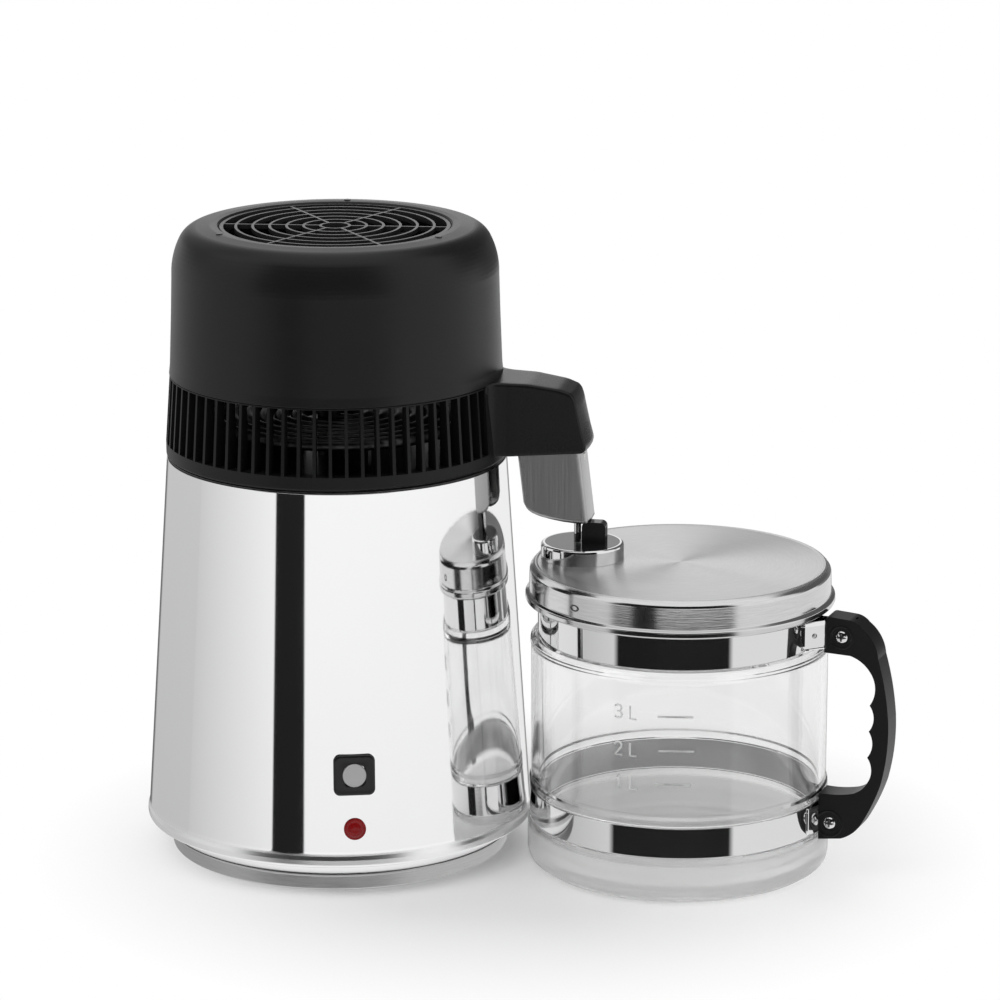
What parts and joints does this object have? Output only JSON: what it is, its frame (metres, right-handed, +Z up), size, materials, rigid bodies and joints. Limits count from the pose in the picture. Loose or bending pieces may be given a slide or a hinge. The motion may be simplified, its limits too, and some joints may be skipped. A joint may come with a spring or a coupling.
{
  "type": "water distiller",
  "caption": "Countertop water distiller: polished tapered steel boiler, black fan head with side spout, and a lidded glass jug with handle.",
  "frame": {"origin": "centre of the distiller's underside, on the table, under the axis of the steel body", "axes": "+Z up, +X from the distiller's axis toward the jug's axis, -Y the side with the button and lamp"},
  "size_m": [0.4321, 0.2223, 0.3603],
  "materials": {
    "polished_steel": "mirror-polished stainless steel",
    "brushed_steel": "brushed stainless steel",
    "steel_hardware": "plain steel",
    "black_head": "satin black",
    "black_gloss": "glossy black",
    "button_grey": "light grey, satin gloss",
    "red_lens": "clear red",
    "black_rubber": "matt rubber",
    "white_silicone": "matt silicone",
    "cast_aluminium": "plain cast",
    "cream_ceramic": "glazed",
    "white_plastic": "matt",
    "brass": "plain",
    "carbon_felt": "felt",
    "motor_grey": "painted",
    "clear_glass": "clear"
  },
  "bodies": {
    "distiller": {"base_cover": "steel_hardware", "rubber_feet": "black_rubber", "base_screws": "steel_hardware", "base_ring": "brushed_steel", "outer_shell": "polished_steel", "boiler_pot": "brushed_steel", "heater_plate": "cast_aluminium", "heating_element": "steel_hardware", "heater_clamp": "steel_hardware", "clamp_nut": "steel_hardware", "thermostat": "cream_ceramic", "thermal_fuse": "steel_hardware", "terminal_block": "white_plastic", "button_bezel": "black_gloss", "switch_body": "black_head", "indicator_lens": "red_lens", "indicator_body": "black_head", "indicator_nut": "black_head", "power_inlet": "black_head", "inlet_pins": "brass"},
    "button": {"push_button": "button_grey"},
    "head": {"vent_ring": "black_head", "head_cover": "black_head", "fan_grille": "black_head", "grille_screws": "steel_hardware", "spout_arm": "black_head", "spout_hood": "brushed_steel", "drip_nozzle": "steel_hardware", "filter_cup": "white_plastic", "charcoal_pad": "carbon_felt", "head_pan": "brushed_steel", "pan_gasket": "white_silicone", "steam_riser": "brushed_steel", "condenser_coil": "brushed_steel", "coil_supports": "brushed_steel", "outlet_sleeve": "white_silicone", "outlet_tube": "brushed_steel", "motor_bracket": "steel_hardware", "fan_motor": "motor_grey", "motor_screws": "steel_hardware"},
    "fan": {"fan_impeller": "cast_aluminium", "fan_shaft": "steel_hardware"},
    "jug": {"jug_glass": "clear_glass", "upper_band": "polished_steel", "lower_band": "polished_steel", "jug_handle": "black_head", "handle_screws": "polished_steel", "handle_nuts": "polished_steel"},
    "lid": {"jug_lid": "brushed_steel", "lid_gasket": "white_silicone", "drip_cap": "polished_steel", "drip_inlet": "black_gloss"}
  },
  "joints": [
    {"name": "button_press", "type": "slide", "parent": "distiller", "child": "button", "axis": [-0.2917, 0.9542, -0.0659], "range_m": [0, 0.0025], "stiffness_N_per_m": 600, "springref_m": -0.002},
    {"name": "head_lift", "type": "slide", "parent": "distiller", "child": "head", "axis": [0, 0, 1], "range_m": [0, 0.12]},
    {"name": "fan_spin", "type": "hinge", "parent": "head", "child": "fan", "pos_m": [0, 0, 0.32], "axis": [0, 0, 1], "continuous": true},
    {"name": "jug_slide", "type": "slide", "parent": "distiller", "child": "jug", "axis": [1, 0, 0], "range_m": [0, 0.2]},
    {"name": "lid_turn", "type": "hinge", "parent": "jug", "child": "lid", "pos_m": [0.1968, 0, 0.17], "axis": [0, 0, 1], "continuous": true}
  ]
}
